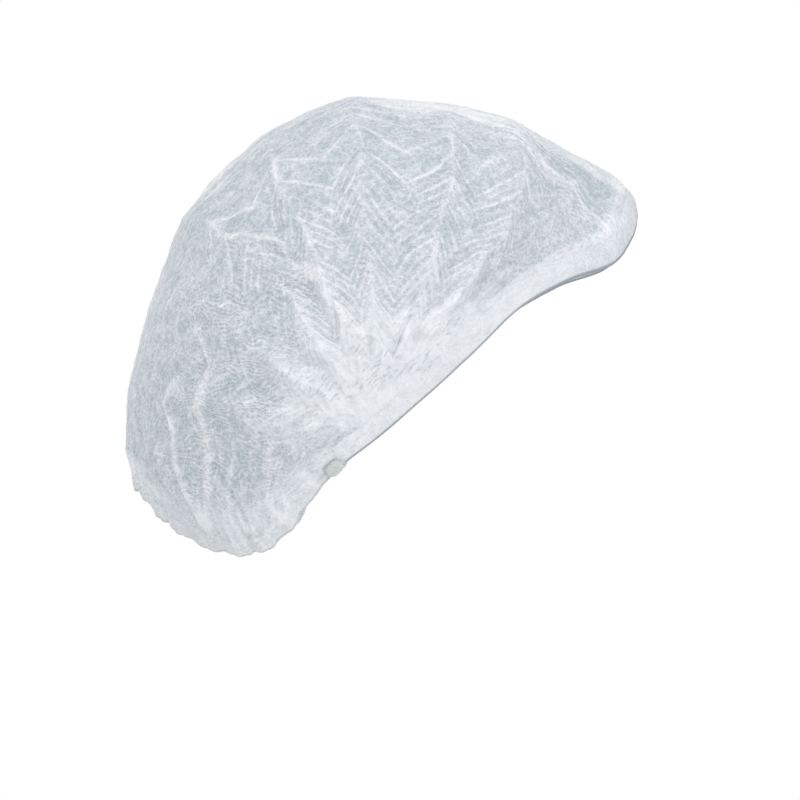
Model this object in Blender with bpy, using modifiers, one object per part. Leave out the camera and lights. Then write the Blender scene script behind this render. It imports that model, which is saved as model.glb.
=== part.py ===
# A disposable bouffant cap: a puffed crown of pleated non-woven cloth, gathered into a folded
# edge with a rubber thread inside. It has the shape that it takes when worn: the edge slopes
# from the forehead down to the neck, and hangs below the straight line between the two.
# Metres, +Z up, +X towards the face, +Y to the wearer's left. The origin is the middle of the
# rim line, the straight line from the edge's foremost point to its rearmost point.

import math

import bmesh
import bpy
import numpy as np
from mathutils import Matrix, Vector

# Sizes of the whole cap. The rise and the drop are measured square to the rim line.
RIM_LENGTH = 0.285
RIM_SLOPE = math.radians(29.1)
RIM_WIDTH = 0.164
RIM_DROP = 0.0570
CROWN_RISE = 0.1227
CROWN_WIDTH = 0.236

# Cloth, folded edge and rubber thread. HEM_CORNER is the half width of the fold's flat bottom,
# as a share of how far the fold's sides stand from the crown's edge.
CLOTH = 0.001
CLEARANCE = 0.0003
FRONT_HEM = 0.012
BACK_HEM = 0.010
HEM_TURN_IN = 0.006
HEM_STAND_OFF = 0.003
HEM_CORNER = 0.73
THREAD = 0.001

# Pleats that run from ear to ear, and the ruffles that gather the edge round the neck
PLEAT_DEPTH = 0.006
RUFFLES = 20
RUFFLE_DEPTH = 0.0020
RUFFLE_SCALLOP = 0.0011

# Welded tabs over the joints of the folded edge, behind the ears
TAB_LENGTH = 0.0105
TAB_HEIGHT = 0.0085
TAB_THICKNESS = 0.0024
TAB_OVERHANG = 0.0035
TAB_ANGLE = math.radians(108.0)

# Where the pleats end on the edge, as angles round the rim from straight ahead
FIRST_PLEAT_ANGLE = math.radians(86.0)
LAST_PLEAT_ANGLE = math.radians(106.0)

# The rim seen square to its line is a superellipse whose exponent grows from the side to the
# angle where the neck's half is fully round. The hem narrows over the same stretch.
FRONT_ROUNDNESS = 2.1
BACK_ROUNDNESS = 2.8
SIDE_ANGLE = math.radians(90.0)
ROUNDEST_ANGLE = math.radians(140.0)

# Share of the rows at each end that bend to meet the hem line, and of those above the neck that
# take the ruffles' shape; share of the half width, beside each ear, over which ruffles die out
ROWS_MEETING_HEM = 0.3
RUFFLED_ROWS = 0.45
RUFFLE_FADE = 1 / 3

# Fineness of the meshes
STEPS_PER_RUFFLE = 3
FINE_SAMPLES = 400
FINE_ANGLE = math.radians(0.5)
TAB_ROUNDING = 0.45
TAB_ROUNDING_STEPS = 3

# The edge from the forehead (0 degrees) round to the neck (180 degrees).
# drop: share of RIM_DROP; flare: degrees that the cloth leans out as it leaves the edge.
EDGE = [
    # angle, drop, flare
    (0.0, 0.000, 5.0),
    (22.6, 0.213, 10.0),
    (34.0, 0.325, 20.0),
    (51.6, 0.259, 34.0),
    (62.9, 0.265, 38.0),
    (77.2, 0.414, 40.0),
    (87.4, 0.530, 40.0),
    (98.9, 0.645, 42.0),
    (106.7, 0.710, 43.0),
    (115.3, 0.831, 46.0),
    (122.0, 0.965, 47.0),
    (128.2, 1.000, 44.0),
    (143.4, 0.808, 28.0),
    (157.9, 0.470, 10.0),
    (168.3, 0.214, -6.0),
    (180.0, 0.000, -12.0),
]

# The pleat ridges, from the forehead over the top to the neck. The first and the last row are
# the two hem lines, whose middles the edge gives.
# along, above: where the ridge crosses the middle of the cap, as shares of half RIM_LENGTH
# and of CROWN_RISE; width: share of half CROWN_WIDTH; bend: how far the ridge bows forward
# between the ear and the middle, as a share of its length; depth: share of PLEAT_DEPTH.
RIDGES = [
    # name, along, above, width, bend, depth
    ("front_hem_line", None, None, 0.720, 0.04, 0.00),
    ("brow", 0.903, 0.312, 0.820, 0.05, 0.35),
    ("front", 0.773, 0.572, 0.895, 0.11, 0.55),
    ("front_top", 0.601, 0.735, 0.945, 0.05, 0.60),
    ("top", 0.310, 0.967, 0.985, 0.01, 0.70),
    ("back_top", -0.028, 1.000, 1.000, -0.02, 0.80),
    ("upper_back", -0.411, 0.868, 1.000, 0.15, 0.85),
    ("back", -0.666, 0.611, 0.970, 0.10, 0.55),
    ("lower_back", -0.847, 0.381, 0.900, -0.05, 0.25),
    ("neck", -0.961, 0.182, 0.800, -0.20, 0.00),
    ("back_hem_line", None, None, 0.700, -0.30, 0.00),
]

ALONG = np.array([math.cos(RIM_SLOPE), 0.0, math.sin(RIM_SLOPE)])
ABOVE = np.array([-math.sin(RIM_SLOPE), 0.0, math.cos(RIM_SLOPE)])
LEFT = np.array([0.0, 1.0, 0.0])


def unit(vectors):
    """Vectors of an array brought to length 1."""
    return vectors / np.linalg.norm(vectors, axis=-1, keepdims=True)


def smooth_curve(knots, values, at):
    """Cubic Hermite curve through the knots, level at both ends, read at an array of places."""
    slopes = np.gradient(values, knots)
    slopes[0] = 0.0
    slopes[-1] = 0.0
    at = np.clip(at, knots[0], knots[-1])
    i = np.clip(np.searchsorted(knots, at, side="right") - 1, 0, len(knots) - 2)
    span = knots[i + 1] - knots[i]
    t = (at - knots[i]) / span
    rise = t * t * (3 - 2 * t)
    lead = t * (1 - t) ** 2 * span
    trail = -t * t * (1 - t) * span
    return values[i] * (1 - rise) + values[i + 1] * rise + slopes[i] * lead + slopes[i + 1] * trail


def edge_points(angle):
    """The edge of the cloth at angles round the rim, and which way is out from the rim."""
    knots = np.array([row[0] for row in EDGE])
    drops = np.array([row[1] for row in EDGE])
    drop = smooth_curve(np.radians(knots), drops, np.abs(angle))[:, None] * RIM_DROP
    cos, sin = np.cos(angle)[:, None], np.sin(angle)[:, None]
    turn = smooth_curve(np.array([SIDE_ANGLE, ROUNDEST_ANGLE]), np.array([0.0, 1.0]), np.abs(angle))
    power = 2 / (FRONT_ROUNDNESS + (BACK_ROUNDNESS - FRONT_ROUNDNESS) * turn[:, None])
    along = np.sign(cos) * np.abs(cos) ** power * RIM_LENGTH / 2
    out = np.sign(sin) * np.abs(sin) ** power * RIM_WIDTH / 2
    outward = unit(cos * RIM_WIDTH * ALONG + sin * RIM_LENGTH * LEFT)
    return along * ALONG + out * LEFT - drop * ABOVE, outward


def edge_frame(angle):
    """At angles round the rim: the cloth's edge, the way the cloth leaves it, and the hem."""
    edge, outward = edge_points(angle)
    ahead = edge_points(angle + FINE_ANGLE)[0]
    tangent = unit(ahead - edge_points(angle - FINE_ANGLE)[0])
    knots = np.array([row[0] for row in EDGE])
    flares = np.array([row[2] for row in EDGE])
    flare = np.radians(smooth_curve(np.radians(knots), flares, np.abs(angle)))[:, None]
    rise = np.cos(flare) * ABOVE + np.sin(flare) * outward
    rise = unit(rise - np.sum(rise * tangent, axis=1)[:, None] * tangent)
    narrowing = [LAST_PLEAT_ANGLE, ROUNDEST_ANGLE]
    hem = np.interp(np.abs(angle), narrowing, [FRONT_HEM, BACK_HEM])
    return edge, rise, hem[:, None]


def hem_line(angle):
    """The line just above the hem, where the crown's free cloth begins."""
    edge, rise, hem = edge_frame(angle)
    return edge + rise * (hem + HEM_STAND_OFF)


def even_angles(first, last, count):
    """Angles that divide the edge between two angles into equal lengths."""
    fine = np.linspace(first, last, FINE_SAMPLES)
    steps = np.linalg.norm(np.diff(edge_frame(fine)[0], axis=0), axis=1)
    run = np.concatenate([[0.0], np.cumsum(steps)])
    return np.interp(np.linspace(0, run[-1], count), run, fine)


def pleat_rows():
    """Columns of RIDGES in metres, with a valley row half-way between each two ridges."""
    along, above, width, bend, depth = (list(column) for column in list(zip(*RIDGES))[1:])
    for row, angle in ((0, 0.0), (-1, math.pi)):
        point = hem_line(np.array([angle]))[0]
        along[row] = point @ ALONG / (RIM_LENGTH / 2)
        above[row] = point @ ABOVE / CROWN_RISE
    scales = (RIM_LENGTH / 2, CROWN_RISE, CROWN_WIDTH / 2, 1.0, PLEAT_DEPTH)
    rows = np.arange(2 * len(along) - 1) / 2
    ridges = np.arange(len(along))
    table = (along, above, width, bend, depth)
    return [np.interp(rows, ridges, np.array(column) * scale) for column, scale in zip(table, scales)]


def crown_grid():
    """Grid of the crown's middle surface, pleat rows by columns from the right ear to the left.

    Each row leaves the hem line at the ear, swells to its width and closes over the middle of
    the cap: half of a lengthened ellipse, bowed forward most at two thirds of its way up. Every
    second row is a valley.
    """
    along, above, width, bend, depth = pleat_rows()
    rows, columns = len(along), RUFFLES * STEPS_PER_RUFFLE
    across = np.linspace(-1, 1, columns + 1)
    inward = 1 - np.abs(across)
    down = np.linspace(0, 1, rows)

    ear = hem_line(FIRST_PLEAT_ANGLE + (LAST_PLEAT_ANGLE - FIRST_PLEAT_ANGLE) * down)
    width = np.maximum(width, ear[:, 1])
    low = -np.arccos(ear[:, 1] / width)[:, None]
    turn = low + (math.pi / 2 - low) * inward
    reach = (np.sin(turn) - np.sin(low)) / (1 - np.sin(low))
    middle = along[:, None] * ALONG + above[:, None] * ABOVE
    line = (middle - ear) * [1, 0, 1]
    forward = np.cross(LEFT, line)
    bow = bend[:, None] * 27 / 4 * reach**2 * (1 - reach)
    grid = ear[:, None] + reach[..., None] * line[:, None] + bow[..., None] * forward[:, None]
    grid[..., 1] = width[:, None] * np.cos(turn) * np.sign(across)

    for hem_row, first, last in ((0, FIRST_PLEAT_ANGLE, 0.0), (-1, LAST_PLEAT_ANGLE, math.pi)):
        half = hem_line(even_angles(first, last, columns // 2 + 1))
        whole = np.concatenate([half * [1, -1, 1], half[-2::-1]])
        share = down if hem_row else 1 - down
        blend = np.clip(1 - (1 - share) / ROWS_MEETING_HEM, 0, 1) ** 2
        grid += blend[:, None, None] * (whole - grid[hem_row])

    sink = depth[:, None] * 4 * reach * (1 - reach)
    sink *= np.where(np.arange(rows) % 2, 1.0, 0.0)[:, None]
    normals = grid_normals(grid)
    grid -= sink[..., None] * normals
    return grid, normals, down, across


def grid_normals(grid):
    """Outward normals of a grid whose rows run right to left and follow from front to back."""
    return unit(np.cross(np.gradient(grid, axis=1), np.gradient(grid, axis=0)))


def lobes(columns, across):
    """Round lobes with a notch between each two, round the neck, dying out near the ears."""
    steps = np.arange(columns + 1) % STEPS_PER_RUFFLE
    fade = np.clip((1 - np.abs(across)) / RUFFLE_FADE, 0, 1)
    return np.where(steps == 0, -1.0, 0.5) * fade


def build_cap_surface():
    """The crown's grid, and the ring of stations round its border with the edge below each."""
    grid, normals, down, across = crown_grid()
    rows, columns = len(down), len(across)
    front = even_angles(FIRST_PLEAT_ANGLE, 0.0, columns // 2 + 1)
    back = even_angles(LAST_PLEAT_ANGLE, math.pi, columns // 2 + 1)
    side = FIRST_PLEAT_ANGLE + (LAST_PLEAT_ANGLE - FIRST_PLEAT_ANGLE) * down
    round_front = np.concatenate([-front, front[-2::-1]])
    round_back = np.concatenate([back, -back[-2::-1]])
    angles = np.concatenate([round_front, side[1:], round_back[1:], -side[-2:0:-1]])
    index = np.arange(rows * columns).reshape(rows, columns)
    border = np.concatenate([index[0], index[1:, -1], index[-1, -2::-1], index[-2:0:-1, 0]])
    edge, rise, hem = edge_frame(angles)

    wave = lobes(columns - 1, across)
    strength = np.clip(1 - (1 - down) / RUFFLED_ROWS, 0, 1) ** 2
    grid += (RUFFLE_DEPTH * strength[:, None] * wave)[..., None] * normals
    ring_wave = np.zeros(len(border))
    back_stations = slice(columns + rows - 2, 2 * columns + rows - 2)
    ring_wave[back_stations] = wave
    tangent = unit(np.roll(edge, -1, axis=0) - np.roll(edge, 1, axis=0))
    outward = unit(np.cross(tangent, rise))
    edge += (RUFFLE_DEPTH * ring_wave)[:, None] * outward
    edge -= (RUFFLE_SCALLOP * ring_wave)[:, None] * rise
    top = edge + rise * (hem + HEM_STAND_OFF)
    grid.reshape(-1, 3)[border] = top
    return grid, border, edge, rise, hem, columns, rows


def material(name, colour, roughness):
    """A plain non-metallic material of one colour."""
    made = bpy.data.materials.new(name)
    made.use_nodes = True
    shader = made.node_tree.nodes["Principled BSDF"]
    shader.inputs["Base Color"].default_value = (*colour, 1.0)
    shader.inputs["Roughness"].default_value = roughness
    shader.inputs["Metallic"].default_value = 0.0
    return made


def add_object(name, data, finish, collection):
    """Put a mesh or curve into the cap's collection as an object."""
    item = bpy.data.objects.new(name, data)
    data.materials.append(finish)
    collection.objects.link(item)
    return item


def add_cloth(name, points, faces, finish, collection):
    """An open sheet of cloth, given its thickness half to each side."""
    mesh = bpy.data.meshes.new(name)
    mesh.from_pydata(points.tolist(), [], faces)
    mesh.shade_smooth()
    item = add_object(name, mesh, finish, collection)
    wall = item.modifiers.new("wall", "SOLIDIFY")
    wall.thickness = CLOTH
    wall.offset = 0.0
    wall.use_even_offset = True
    return item


def add_crown(surface, finish, collection):
    """The puffed cloth, with its border running down into the folded edge."""
    grid, border, edge = surface[:3]
    rows, columns = grid.shape[:2]
    faces = []
    for row in range(rows - 1):
        for column in range(columns - 1):
            corner = row * columns + column
            faces.append((corner, corner + columns, corner + columns + 1, corner + 1))
    first = rows * columns
    for station in range(len(border)):
        after = (station + 1) % len(border)
        faces.append((int(border[station]), int(border[after]), first + after, first + station))
    points = np.concatenate([grid.reshape(-1, 3), edge])
    return add_cloth("crown", points, faces, finish, collection)


def add_hem(name, surface, first, last, finish, collection):
    """A strip folded up both sides of the crown's edge, round the channel of the thread."""
    edge, rise, hem = surface[2:5]
    stations = np.arange(first, last + 1) % len(edge)
    before, after = np.roll(edge, 1, axis=0), np.roll(edge, -1, axis=0)
    normal_in = unit(np.cross(edge - before, rise))
    normal_out = unit(np.cross(after - edge, rise))
    mitre = (normal_in + normal_out) / (1 + np.sum(normal_in * normal_out, axis=1))[:, None]
    apart = max(CLOTH, THREAD) / 2 + CLEARANCE + CLOTH / 2
    channel = CLEARANCE + THREAD / 2
    fold = channel + apart
    corner = HEM_CORNER * apart
    profile = [
        # out from the crown's edge, up from it
        (apart, hem),
        (apart, -channel),
        (corner, -fold),
        (-corner, -fold),
        (-apart, -channel),
        (-apart, HEM_TURN_IN),
    ]
    lines = [edge + out * mitre + up * rise for out, up in profile]
    strip = np.stack(lines, axis=1)[stations]
    for end, inner in ((0, 1), (-1, -2)):
        strip[end] += unit(strip[inner] - strip[end]) * CLEARANCE / 2
    count, width = strip.shape[:2]
    faces = []
    for station in range(count - 1):
        for line in range(width - 1):
            corner = station * width + line
            faces.append((corner, corner + width, corner + width + 1, corner + 1))
    return add_cloth(name, strip.reshape(-1, 3), faces, finish, collection)


def add_thread(surface, finish, collection):
    """The rubber thread, one loop all the way round inside the fold."""
    edge, rise = surface[2:4]
    points = edge - rise * (CLEARANCE + THREAD / 2)
    curve = bpy.data.curves.new("elastic", "CURVE")
    curve.dimensions = "3D"
    curve.bevel_depth = THREAD / 2
    curve.bevel_resolution = 1
    spline = curve.splines.new("POLY")
    spline.points.add(len(points) - 1)
    spline.points.foreach_set("co", np.column_stack([points, np.ones(len(points))]).ravel())
    spline.use_cyclic_u = True
    return add_object("elastic", curve, finish, collection)


def add_tab(name, side, finish, collection):
    """A small rounded pad, flat against the outside of the hem where its two ends meet."""
    angle = np.array([side * TAB_ANGLE])
    edge, rise = (values[0] for values in edge_frame(angle)[:2])
    ahead = edge_frame(angle - side * FINE_ANGLE)[0][0]
    tangent = (edge - ahead) * side
    outward = np.cross(tangent, rise)
    outward /= np.linalg.norm(outward)
    tangent = np.cross(outward, rise)
    apart = max(CLOTH, THREAD) / 2 + CLEARANCE + CLOTH / 2
    fold = CLEARANCE + THREAD / 2 + apart + CLOTH / 2
    out = apart + CLOTH / 2 + CLEARANCE + TAB_THICKNESS / 2
    up = TAB_HEIGHT / 2 - fold - TAB_OVERHANG
    centre = edge + outward * out + rise * up

    shape = bmesh.new()
    bmesh.ops.create_cube(shape, size=1.0)
    bmesh.ops.scale(shape, vec=(TAB_LENGTH, TAB_THICKNESS, TAB_HEIGHT), verts=shape.verts)
    mesh = bpy.data.meshes.new(name)
    shape.to_mesh(mesh)
    shape.free()
    mesh.shade_smooth()
    tab = add_object(name, mesh, finish, collection)
    turned = Matrix([tangent, outward, rise]).transposed().to_4x4()
    tab.matrix_world = Matrix.Translation(Vector(centre)) @ turned
    rounding = tab.modifiers.new("rounding", "BEVEL")
    rounding.width = TAB_ROUNDING * min(TAB_THICKNESS, TAB_HEIGHT, TAB_LENGTH)
    rounding.segments = TAB_ROUNDING_STEPS
    rounding.limit_method = "ANGLE"
    return tab


def clear_scene():
    """Remove every object of the open scene."""
    for item in list(bpy.data.objects):
        bpy.data.objects.remove(item, do_unlink=True)


def build_cap():
    """All pieces of the cap, in a collection of its own."""
    collection = bpy.data.collections.new("bouffant_cap")
    bpy.context.scene.collection.children.link(collection)
    cloth = material("white_nonwoven", (0.80, 0.83, 0.86), 0.85)
    folded = material("folded_nonwoven", (0.86, 0.88, 0.90), 0.80)
    rubber = material("white_rubber", (0.72, 0.73, 0.72), 0.60)
    welded = material("welded_nonwoven", (0.62, 0.66, 0.67), 0.55)

    surface = build_cap_surface()
    columns, rows = surface[5:]
    left_joint = columns + rows - 2
    right_joint = left_joint + columns - 1
    stations = len(surface[1])
    add_crown(surface, cloth, collection)
    add_hem("front_hem", surface, right_joint, left_joint + stations, folded, collection)
    add_hem("back_hem", surface, left_joint, right_joint, folded, collection)
    add_thread(surface, rubber, collection)
    add_tab("left_tab", 1, welded, collection)
    add_tab("right_tab", -1, welded, collection)


clear_scene()
build_cap()
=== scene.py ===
"""A disposable bouffant cap of white non-woven cloth, as it sits when it is worn.

The cap is put together in the order in which it is made: the pleated crown, the folded front
and back hems, the rubber thread inside them and the welded tabs at the joints of the hems.
Metres, +Z up, +X towards the face, +Y to the wearer's left, as in the frame.
"""

import math

import bmesh
import bpy
import numpy as np
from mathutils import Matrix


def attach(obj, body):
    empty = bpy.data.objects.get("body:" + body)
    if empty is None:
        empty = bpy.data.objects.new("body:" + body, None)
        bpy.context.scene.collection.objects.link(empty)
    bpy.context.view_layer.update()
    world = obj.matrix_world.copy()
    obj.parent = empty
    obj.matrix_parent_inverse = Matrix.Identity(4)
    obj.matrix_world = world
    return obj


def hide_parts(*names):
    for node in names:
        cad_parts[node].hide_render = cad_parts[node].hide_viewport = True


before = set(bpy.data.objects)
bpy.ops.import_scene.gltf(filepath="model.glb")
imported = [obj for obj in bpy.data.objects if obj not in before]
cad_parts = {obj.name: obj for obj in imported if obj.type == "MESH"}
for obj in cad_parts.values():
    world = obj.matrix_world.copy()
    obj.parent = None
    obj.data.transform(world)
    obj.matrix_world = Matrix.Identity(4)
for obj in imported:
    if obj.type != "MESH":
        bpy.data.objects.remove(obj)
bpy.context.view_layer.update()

# Crown
# The crown is one sheet of spun-bonded polypropylene, about 14 g/m2. A machine folds it into
# pleats that run from ear to ear, with chevron creases across them, and gathers it at the ears.
# Worn, it puffs out, and the folds stay in it as bright lines.

# Sizes of the whole cap. The rim line runs from the edge's foremost to its rearmost point.
RIM_LENGTH = 0.285
RIM_SLOPE = math.radians(29.1)
RIM_WIDTH = 0.164
RIM_DROP = 0.0570
CROWN_RISE = 0.1227
CROWN_WIDTH = 0.236

# Folded edge
FRONT_HEM = 0.012
BACK_HEM = 0.010
HEM_STAND_OFF = 0.003

# Where the pleats end on the edge, and how round the rim is, as in a superellipse
FIRST_PLEAT_ANGLE = math.radians(86.0)
LAST_PLEAT_ANGLE = math.radians(106.0)
FRONT_ROUNDNESS = 2.1
BACK_ROUNDNESS = 2.8
ROUNDEST_ANGLE = math.radians(140.0)

# The edge from the forehead (0 degrees) round to the neck (180 degrees).
# drop: share of RIM_DROP; flare: degrees that the cloth leans out as it leaves the edge.
EDGE = [
    # angle, drop, flare
    (0.0, 0.000, 5.0),
    (22.6, 0.213, 10.0),
    (34.0, 0.325, 20.0),
    (51.6, 0.259, 34.0),
    (62.9, 0.265, 38.0),
    (77.2, 0.414, 40.0),
    (87.4, 0.530, 40.0),
    (98.9, 0.645, 42.0),
    (106.7, 0.710, 43.0),
    (115.3, 0.831, 46.0),
    (122.0, 0.965, 47.0),
    (128.2, 1.000, 44.0),
    (143.4, 0.808, 28.0),
    (157.9, 0.470, 10.0),
    (168.3, 0.214, -6.0),
    (180.0, 0.000, -12.0),
]

# The pleat ridges from the forehead over the top to the neck.
# along, above: where the ridge crosses the middle of the cap, as shares of half RIM_LENGTH
# and of CROWN_RISE; width: share of half CROWN_WIDTH; bend: how far the ridge bows forward on
# its way to the ear, as a share of that way; depth: of the pleat behind it, in millimetres;
# valley: place of that pleat's bottom between this ridge and the next; line: how bright the
# fold along the ridge is; crease: how strong the chevron creases are beside it.
RIDGE_COLUMNS = ["name", "along", "above", "width", "bend", "depth", "valley", "line", "crease"]
RIDGES = [
    # name, along, above, width, bend, depth, valley, line, crease
    ("front_hem_line", None, None, 0.825, 0.04, 0.6, 0.50, 0.0, 0.0),
    ("brow", 0.903, 0.312, 0.840, 0.08, 1.3, 0.50, 0.3, 0.6),
    ("front", 0.773, 0.572, 0.895, 0.13, 2.2, 0.60, 0.6, 1.0),
    ("front_top", 0.601, 0.735, 0.945, 0.04, 3.0, 0.50, 0.7, 1.0),
    ("top", 0.310, 0.967, 0.985, 0.01, 3.2, 0.45, 0.6, 1.0),
    ("back_top", -0.028, 1.000, 1.000, 0.00, 0.7, 0.50, 0.9, 1.0),
    ("upper_back", -0.411, 0.868, 1.000, 0.115, 1.5, 0.50, 0.9, 0.9),
    ("back", -0.666, 0.611, 0.970, 0.10, 2.0, 0.50, 1.0, 0.4),
    ("lower_back", -0.847, 0.381, 0.900, -0.05, 1.0, 0.50, 0.3, 0.0),
    ("neck", -0.961, 0.182, 0.850, -0.20, 0.3, 0.50, 0.0, 0.0),
    ("back_hem_line", None, None, 0.825, -0.30, 0.0, 0.50, 0.0, 0.0),
]

ALONG = np.array([math.cos(RIM_SLOPE), 0.0, math.sin(RIM_SLOPE)])
ABOVE = np.array([-math.sin(RIM_SLOPE), 0.0, math.cos(RIM_SLOPE)])
LEFT = np.array([0.0, 1.0, 0.0])

# Chevron creases between the middle of the crown and the ear, and how far each climbs from the
# bottom of a pleat to its ridge, in spacings of the creases
CREASES = 13
CREASE_CLIMB = 1.5
CREASE_RELIEF = 0.0013
CREASE_HALF_WIDTH = 0.0023

# Long upright creases low on the back: place between ear and middle at each ridge number, how
# far they stand out in millimetres, and how bright they are
UPRIGHTS = [
    # ridges, places, height, line
    ((7.3, 8.0, 8.5, 9.0, 9.7), (0.60, 0.47, 0.49, 0.49, 0.50), 1.2, 0.9),
    ((7.8, 8.5, 9.0, 9.4, 9.8), (0.62, 0.625, 0.575, 0.54, 0.52), 1.1, 0.8),
    ((8.3, 9.0, 9.5, 9.8), (0.84, 0.76, 0.73, 0.72), 0.9, 0.6),
    ((8.7, 9.2, 9.5, 9.8), (0.45, 0.39, 0.35, 0.33), -1.2, -0.5),
    ((8.2, 8.8, 9.4, 9.8), (0.26, 0.28, 0.24, 0.22), 0.7, 0.4),
]

# Ruffles round the neck: how far they stand out, and how far they hang down
RUFFLE_DEPTH = 0.0018
RUFFLE_SCALLOP = 0.0012

# Folds that run down to the gathers above the ear: place at each fall, 1 being the ear itself,
# as above. The first is the long broad crease over the upper back.
GATHERED_FOLDS = [
    # falls, ridges, height, line
    ((0.16, 0.24, 0.33, 0.42, 0.52, 0.64, 0.74), (6.0, 5.85, 5.72, 5.43, 5.27, 5.08, 5.2), 1.2, 0.75),
    ((0.69, 0.75, 0.80, 0.83), (3.05, 3.08, 3.2, 3.5), -1.2, -0.35),
    ((0.76, 0.83, 0.90, 0.97), (8.05, 7.92, 7.79, 7.21), -1.4, -0.2),
    ((0.62, 0.74, 0.83, 0.90), (7.0, 7.08, 7.12, 7.12), 1.0, 0.3),
    ((0.70, 0.79, 0.84, 0.90), (3.0, 3.29, 3.88, 4.3), -1.2, -0.15),
    ((0.72, 0.80, 0.86, 0.92), (2.4, 2.63, 2.9, 3.4), -1.0, -0.1),
    ((0.70, 0.78, 0.85, 0.93), (1.3, 1.5, 1.9, 2.4), 1.0, 0.3),
    ((0.66, 0.75, 0.84, 0.93), (4.4, 4.7, 4.8, 5.0), 1.3, 0.5),
]

# Fineness of the sheet
STEPS_PER_FOLD = 12
COLUMN_STEP = 0.0015
RIM_STEPS = 3
# Rows and columns beside the border that follow it when it moves
FRONT_BORDER = 8
BACK_BORDER = 36
SIDE_BORDER = 8
# Rows above the neck that leave the border in line with the hem
LEAVING_ROWS = 26

# Turn, in radians round its ellipse, at which a row leaves the hem line at the ear
EAR_TURN = -0.77
# How far the ear lies from the middle line at the front pleats, as seen from the side, in
# millimetres
FRONT_SPAN = 150

# How far folds wander along the surface, and the heights of the small relief
DRIFT = 0.0036
WRINKLE_HEIGHT = 0.0007
KNOT_HEIGHT = 0.0012
CRUMPLE_HEIGHT = 0.0010
SWELL_HEIGHT = 0.0018
STREAK_HEIGHT = 0.0006
STREAKS_PER_SIDE = 38


def unit(vectors):
    """Vectors of an array brought to length 1."""
    return vectors / np.linalg.norm(vectors, axis=-1, keepdims=True)


def smooth_step(low, high, values):
    """0 below low, 1 above high, and 3t^2 - 2t^3 between them."""
    t = np.clip((values - low) / (high - low), 0, 1)
    return t * t * (3 - 2 * t)


def hat(away, half_width):
    """1 where away is 0, and straight down to 0 at half_width on either side."""
    return np.clip(1 - np.abs(away) / half_width, 0, 1)


def smooth_curve(knots, values, at, level_ends=True):
    """Cubic Hermite curve through the knots, read at an array of places.

    The slope at a knot is that of the parabola through it and its neighbours.
    """
    slopes = np.gradient(values, knots)
    if level_ends:
        slopes[[0, -1]] = 0.0
    at = np.clip(at, knots[0], knots[-1])
    i = np.clip(np.searchsorted(knots, at, side="right") - 1, 0, len(knots) - 2)
    span = knots[i + 1] - knots[i]
    t = (at - knots[i]) / span
    rise = t * t * (3 - 2 * t)
    lead = t * (1 - t) ** 2 * span
    trail = -t * t * (1 - t) * span
    return values[i] * (1 - rise) + values[i + 1] * rise + slopes[i] * lead + slopes[i + 1] * trail


def noise(places, cell, seed):
    """Smooth value noise from -1 to 1: random numbers at the corners of cubes, eased between."""
    corners = np.random.default_rng(seed).uniform(-1, 1, (32, 32, 32))
    scaled = places / cell
    whole = np.floor(scaled).astype(int)
    t = scaled - whole
    t = t * t * (3 - 2 * t)
    total = 0.0
    for dx in (0, 1):
        for dy in (0, 1):
            for dz in (0, 1):
                share = np.abs(np.array([dx, dy, dz]) - 1 + t).prod(axis=-1)
                at = (whole + [dx, dy, dz]) % 32
                total = total + share * corners[at[..., 0], at[..., 1], at[..., 2]]
    return total


def edge_points(angle):
    """The edge of the cloth at angles round the rim, and which way is out from the rim.

    Seen square to the rim line the edge is a superellipse, and it hangs below that line.
    """
    knots, drops = (np.array(column) for column in list(zip(*EDGE))[:2])
    drop = smooth_curve(np.radians(knots), drops, np.abs(angle))[:, None] * RIM_DROP
    cos, sin = np.cos(angle)[:, None], np.sin(angle)[:, None]
    turn = smooth_step(math.pi / 2, ROUNDEST_ANGLE, np.abs(angle))[:, None]
    power = 2 / (FRONT_ROUNDNESS + (BACK_ROUNDNESS - FRONT_ROUNDNESS) * turn)
    along = np.sign(cos) * np.abs(cos) ** power * RIM_LENGTH / 2
    out = np.sign(sin) * np.abs(sin) ** power * RIM_WIDTH / 2
    outward = unit(cos * RIM_WIDTH * ALONG + sin * RIM_LENGTH * LEFT)
    return along * ALONG + out * LEFT - drop * ABOVE, outward


def edge_frame(angle):
    """At angles round the rim: the cloth's edge, the way the cloth leaves it, and the hem."""
    edge, outward = edge_points(angle)
    step = math.radians(0.5)
    tangent = unit(edge_points(angle + step)[0] - edge_points(angle - step)[0])
    knots, _, flares = (np.array(column) for column in zip(*EDGE))
    flare = np.radians(smooth_curve(np.radians(knots), flares, np.abs(angle)))[:, None]
    rise = np.cos(flare) * ABOVE + np.sin(flare) * outward
    rise = unit(rise - np.sum(rise * tangent, axis=1)[:, None] * tangent)
    back = np.interp(np.abs(angle), [LAST_PLEAT_ANGLE, ROUNDEST_ANGLE], [0, 1])
    hem = FRONT_HEM + (BACK_HEM - FRONT_HEM) * back
    return edge, rise, hem[:, None]


def hem_line(angle):
    """The line just above the hem, where the crown's free cloth begins."""
    edge, rise, hem = edge_frame(angle)
    return edge + rise * (hem + HEM_STAND_OFF)


def angles_at(first, last, shares):
    """Angles at shares of the edge's length between two angles."""
    fine = np.linspace(first, last, 400)
    steps = np.linalg.norm(np.diff(edge_frame(fine)[0], axis=0), axis=1)
    run = np.concatenate([[0.0], np.cumsum(steps)])
    return np.interp(shares * run[-1], run, fine)


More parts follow.
